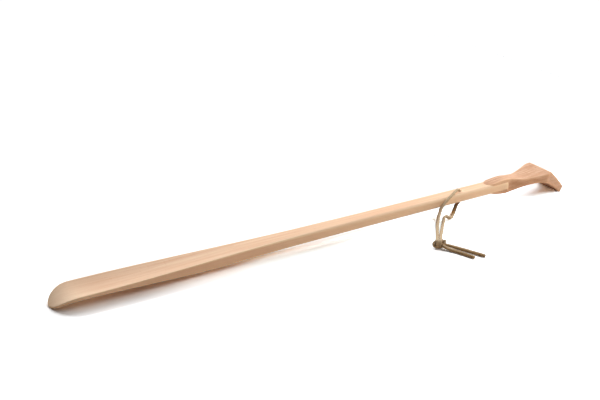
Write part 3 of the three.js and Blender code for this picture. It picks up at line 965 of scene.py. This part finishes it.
def store_age_and_shade(mesh, lines):
    """Keeps at each point the lace's age there, or from 1 to 2 its painted shade. `lines` holds lines,
    each with these values along it.
    """
    points = np.array([v.co for v in mesh.vertices]) / MM
    nearest = np.full(len(points), np.inf)
    ages_and_shade = np.zeros(len(points))
    for line, stops in lines:
        gaps = np.linalg.norm(points[:, None] - line, axis=2)
        closer = gaps.min(1) < nearest
        age_and_shade = np.interp(gaps.argmin(1) / (len(line) - 1), *zip(*stops))
        ages_and_shade[closer] = age_and_shade[closer]
        nearest = np.minimum(nearest, gaps.min(1))
    store(mesh, "age_and_shade", ages_and_shade)


def make_strand(name, points, twist, ages_and_shade, sizes, end_round, material, *nodes):
    """One strand of the lace, and its line in metres."""
    line = route([(HOLE_X + x, y, z) for x, y, z in points])
    strand = mesh_object(name, *lace(line, twist, sizes, end_round))
    store_age_and_shade(strand.data, [(line, ages_and_shade)])
    finish_piece(strand, material, "thong", "leather", *nodes)
    return strand, line * MM


def make_knot_piece(name, strands, ages_and_shade, material):
    """Some of the knot's strands as one piece."""
    onwards = Vector((*KNOT_PLACE, 0)).normalized()
    left = Vector((0, 0, 1)).cross(onwards)
    centre = Vector((HOLE_X + KNOT_PLACE[0], KNOT_PLACE[1], 0))
    points = []
    faces = []
    lines = []
    for strand in strands:
        placed = [centre + u * onwards + v * left + Vector((0, 0, w)) for u, v, w in strand]
        line = route([tuple(p) for p in placed])
        strand_points, strand_faces = lace(line, KNOT_TWIST, KNOT_SIZE, KNOT_END_ROUND)
        faces += [tuple(i + len(points) for i in face) for face in strand_faces]
        points += list(strand_points)
        lines.append((line, ages_and_shade))
    piece = mesh_object(name, points, faces)
    store_age_and_shade(piece.data, lines)
    return finish_piece(piece, material, "thong", "leather", "thong_knot")


def make_thong(material):
    knot = [
        make_knot_piece("thong_knot_over", KNOT_OVER, OVER_AGE, material),
        make_knot_piece("thong_knot_collar", KNOT_COLLAR, COLLAR_AGE, material),
        make_knot_piece("thong_knot_ear", KNOT_EAR, EAR_AGE, material),
    ]
    upper, upper_line = make_strand(
        "thong_upper_lace", [*UPPER_BORE, *UPPER_RUN], UPPER_TWIST, UPPER_AGE, UPPER_SIZE,
        STRAND_END_ROUND, material, "thong_upper_run", "thong_bore_run")
    lower, lower_line = make_strand(
        "thong_lower_lace", [*LOWER_BORE, *LOWER_RUN], LOWER_TWIST, LOWER_AGE_AND_SHADE, LOWER_SIZE,
        STRAND_END_ROUND, material, "thong_lower_run")
    long_tail, long_line = make_strand(
        "thong_long_tail_lace", LONG_TAIL, LONG_TAIL_TWIST, LONG_TAIL_AGE, TAIL_SIZE,
        LONG_TAIL_END_ROUND, material, "thong_long_tail")
    short_tail, short_line = make_strand(
        "thong_short_tail_lace", SHORT_TAIL, SHORT_TAIL_TWIST, SHORT_TAIL_AGE, TAIL_SIZE,
        STRAND_END_ROUND, material, "thong_short_tail")


# Studio


def make_camera():
    data = bpy.data.cameras.new("camera")
    data.lens = CAMERA_LENS
    data.sensor_width = CAMERA_SENSOR
    data.clip_end = CAMERA_REACH
    camera = bpy.data.objects.new("camera", data)
    camera.location = [c * MM for c in CAMERA_PLACE]
    camera.rotation_euler = (math.radians(90 - CAMERA_PITCH), 0, -math.radians(CAMERA_YAW))
    bpy.context.scene.collection.objects.link(camera)
    bpy.context.scene.camera = camera


def seen_directly(shader):
    """1 for what the camera sees, also in gloss or through glass, and 0 for light on the object."""
    rays = shader.add("ShaderNodeLightPath", {}).outputs
    seen = shader.math("MAXIMUM", rays["Is Camera Ray"], rays["Is Glossy Ray"])
    return shader.math("MAXIMUM", seen, rays["Is Transmission Ray"])


def floor_light(shader, x, y):
    """The light that falls on the bare floor."""
    plain, by_x, by_y = FLOOR_LIGHT
    least, most = FLOOR_LIGHT_RANGE
    rise = shader.math("ADD", shader.times(x, by_x), shader.times(y, by_y))
    light = shader.math("ADD", rise, plain)
    return shader.add("ShaderNodeClamp", {0: light, 1: least, 2: most}).outputs[0]


def floor_level(shader, x, y):
    """How bright the bare floor is seen: over white, and more where its shadows are to be light."""
    from_tip = shader.math("SUBTRACT", x, y)
    level = shader.mix(shader.ease(from_tip, *BEYOND_TIP_RANGE), BEYOND_TIP_LEVEL, TIP_LEVEL)
    for turn, next_level in ALONG_LEVELS:
        level = shader.mix(shader.ease(x, *turn), level, next_level)

    throat = shader.mix(shader.ease(y, *THROAT_FRONT), THROAT_FRONT_LEVEL, THROAT_LEVEL)
    level = shader.mix(shader.within(x, THROAT_START, THROAT_END), level, throat)

    slant = shader.times(shader.math("MAXIMUM", x, 0.0), BEHIND_SHAFT_SLANT)
    behind_shaft = shader.ease(shader.math("SUBTRACT", y, slant), *BEHIND_SHAFT_RANGE)
    along_shaft = shader.within(x, THROAT_START, BEHIND_SHAFT_END)
    level = shader.mix(shader.times(along_shaft, behind_shaft), level, BEHIND_SHAFT_LEVEL)

    before_blade = shader.rest(shader.ease(y, *BLADE_FRONT_RANGE))
    along_blade = shader.rest(shader.ease(x, *BLADE_FRONT_END))
    level = shader.mix(shader.times(before_blade, along_blade), level, BLADE_FRONT_LEVEL)

    level = shader.mix(shader.ease(y, *FRONT_RANGE), FRONT_LEVEL, level)
    return shader.mix(shader.ease(y, *BEHIND_RANGE), level, BEHIND_LEVEL)


def make_floor():
    """A warm floor, which is evened out to white where it is seen directly, and keeps its shadows,
    lightened by region with painted light.
    """
    shader = Shader(bpy.data.materials.new("floor_white"))
    parts = shader.split(shader.millimetres())
    level = floor_level(shader, parts["X"], parts["Y"])
    light = floor_light(shader, parts["X"], parts["Y"])
    lit = shader.add("ShaderNodeBsdfDiffuse", {"Color": FLOOR_COLOUR})
    white = shader.add("ShaderNodeBsdfDiffuse", {"Color": shader.vector("DIVIDE", level, light)})
    shader.add("ShaderNodeOutputMaterial", {"Surface": shader.choose(seen_directly(shader), lit, white)})
    half = FLOOR_SIZE / 2
    corners = [(-half, -half, 0), (half, -half, 0), (half, half, 0), (-half, half, 0)]
    floor = mesh_object("floor", corners, [(0, 1, 2, 3)])
    floor.data.materials.append(shader.owner)


def make_panel(name, place, target, width, height, watts, tint):
    """A soft light panel that faces the target."""
    data = bpy.data.lights.new(name, "AREA")
    data.shape = "RECTANGLE"
    data.size = width
    data.size_y = height
    data.energy = watts
    data.color = tint
    panel = bpy.data.objects.new(name, data)
    panel.location = place
    panel.rotation_euler = (Vector(place) - Vector(target)).to_track_quat("Z", "Y").to_euler()
    panel.visible_camera = False
    bpy.context.scene.collection.objects.link(panel)


def make_world():
    """A faint fill light, which is seen as white."""
    shader = Shader(bpy.data.worlds.new("studio"))
    bpy.context.scene.world = shader.owner
    fill = shader.add("ShaderNodeBackground", {"Color": FILL_COLOUR, "Strength": FILL_LEVEL})
    white = shader.add("ShaderNodeBackground", {"Color": BACKGROUND_COLOUR, "Strength": BACKGROUND_LEVEL})
    shader.add("ShaderNodeOutputWorld", {"Surface": shader.choose(seen_directly(shader), fill, white)})


make_camera()
make_floor()
for panel_values in PANELS:
    make_panel(*panel_values)
make_world()
bpy.context.scene.view_settings.view_transform = "Standard"

horn_beech = beech(
    "beech", light=colour(241, 208, 176), warm=colour(236, 197, 164), late=colour(219, 168, 131),
    fleck=colour(200, 141, 103), pale=colour(255, 228, 194), pith=(-60, -80),
    ring_spacing=3.1, ring_depth=0.35, fibre_depth=0.3, ray_depth=0.1,
    streak_depth=0.4, streak_width=3.4, wear_and_highlight_depth=0.9, side_shading_depth=0.55)
head_beech = beech(
    "head_beech", light=colour(217, 182, 154), warm=colour(212, 172, 143), late=colour(183, 130, 96),
    fleck=colour(165, 114, 82), pale=colour(244, 202, 164), pith=(-80, -50),
    ring_spacing=3.6, ring_depth=0.8, fibre_depth=0.4, ray_depth=0.3,
    streak_depth=0.6, streak_width=5, wear_and_highlight_depth=0.8, side_shading_depth=0.1)
lace_leather = leather(
    "lace_leather",
    new=[colour(220, 203, 178), colour(205, 184, 155), colour(176, 151, 119)],
    old=[colour(178, 140, 84), colour(154, 118, 68), colour(118, 88, 50)],
    painted_shade=colour(66, 52, 46))

make_horn(horn_beech)
make_head(head_beech)
make_thong(lace_leather)
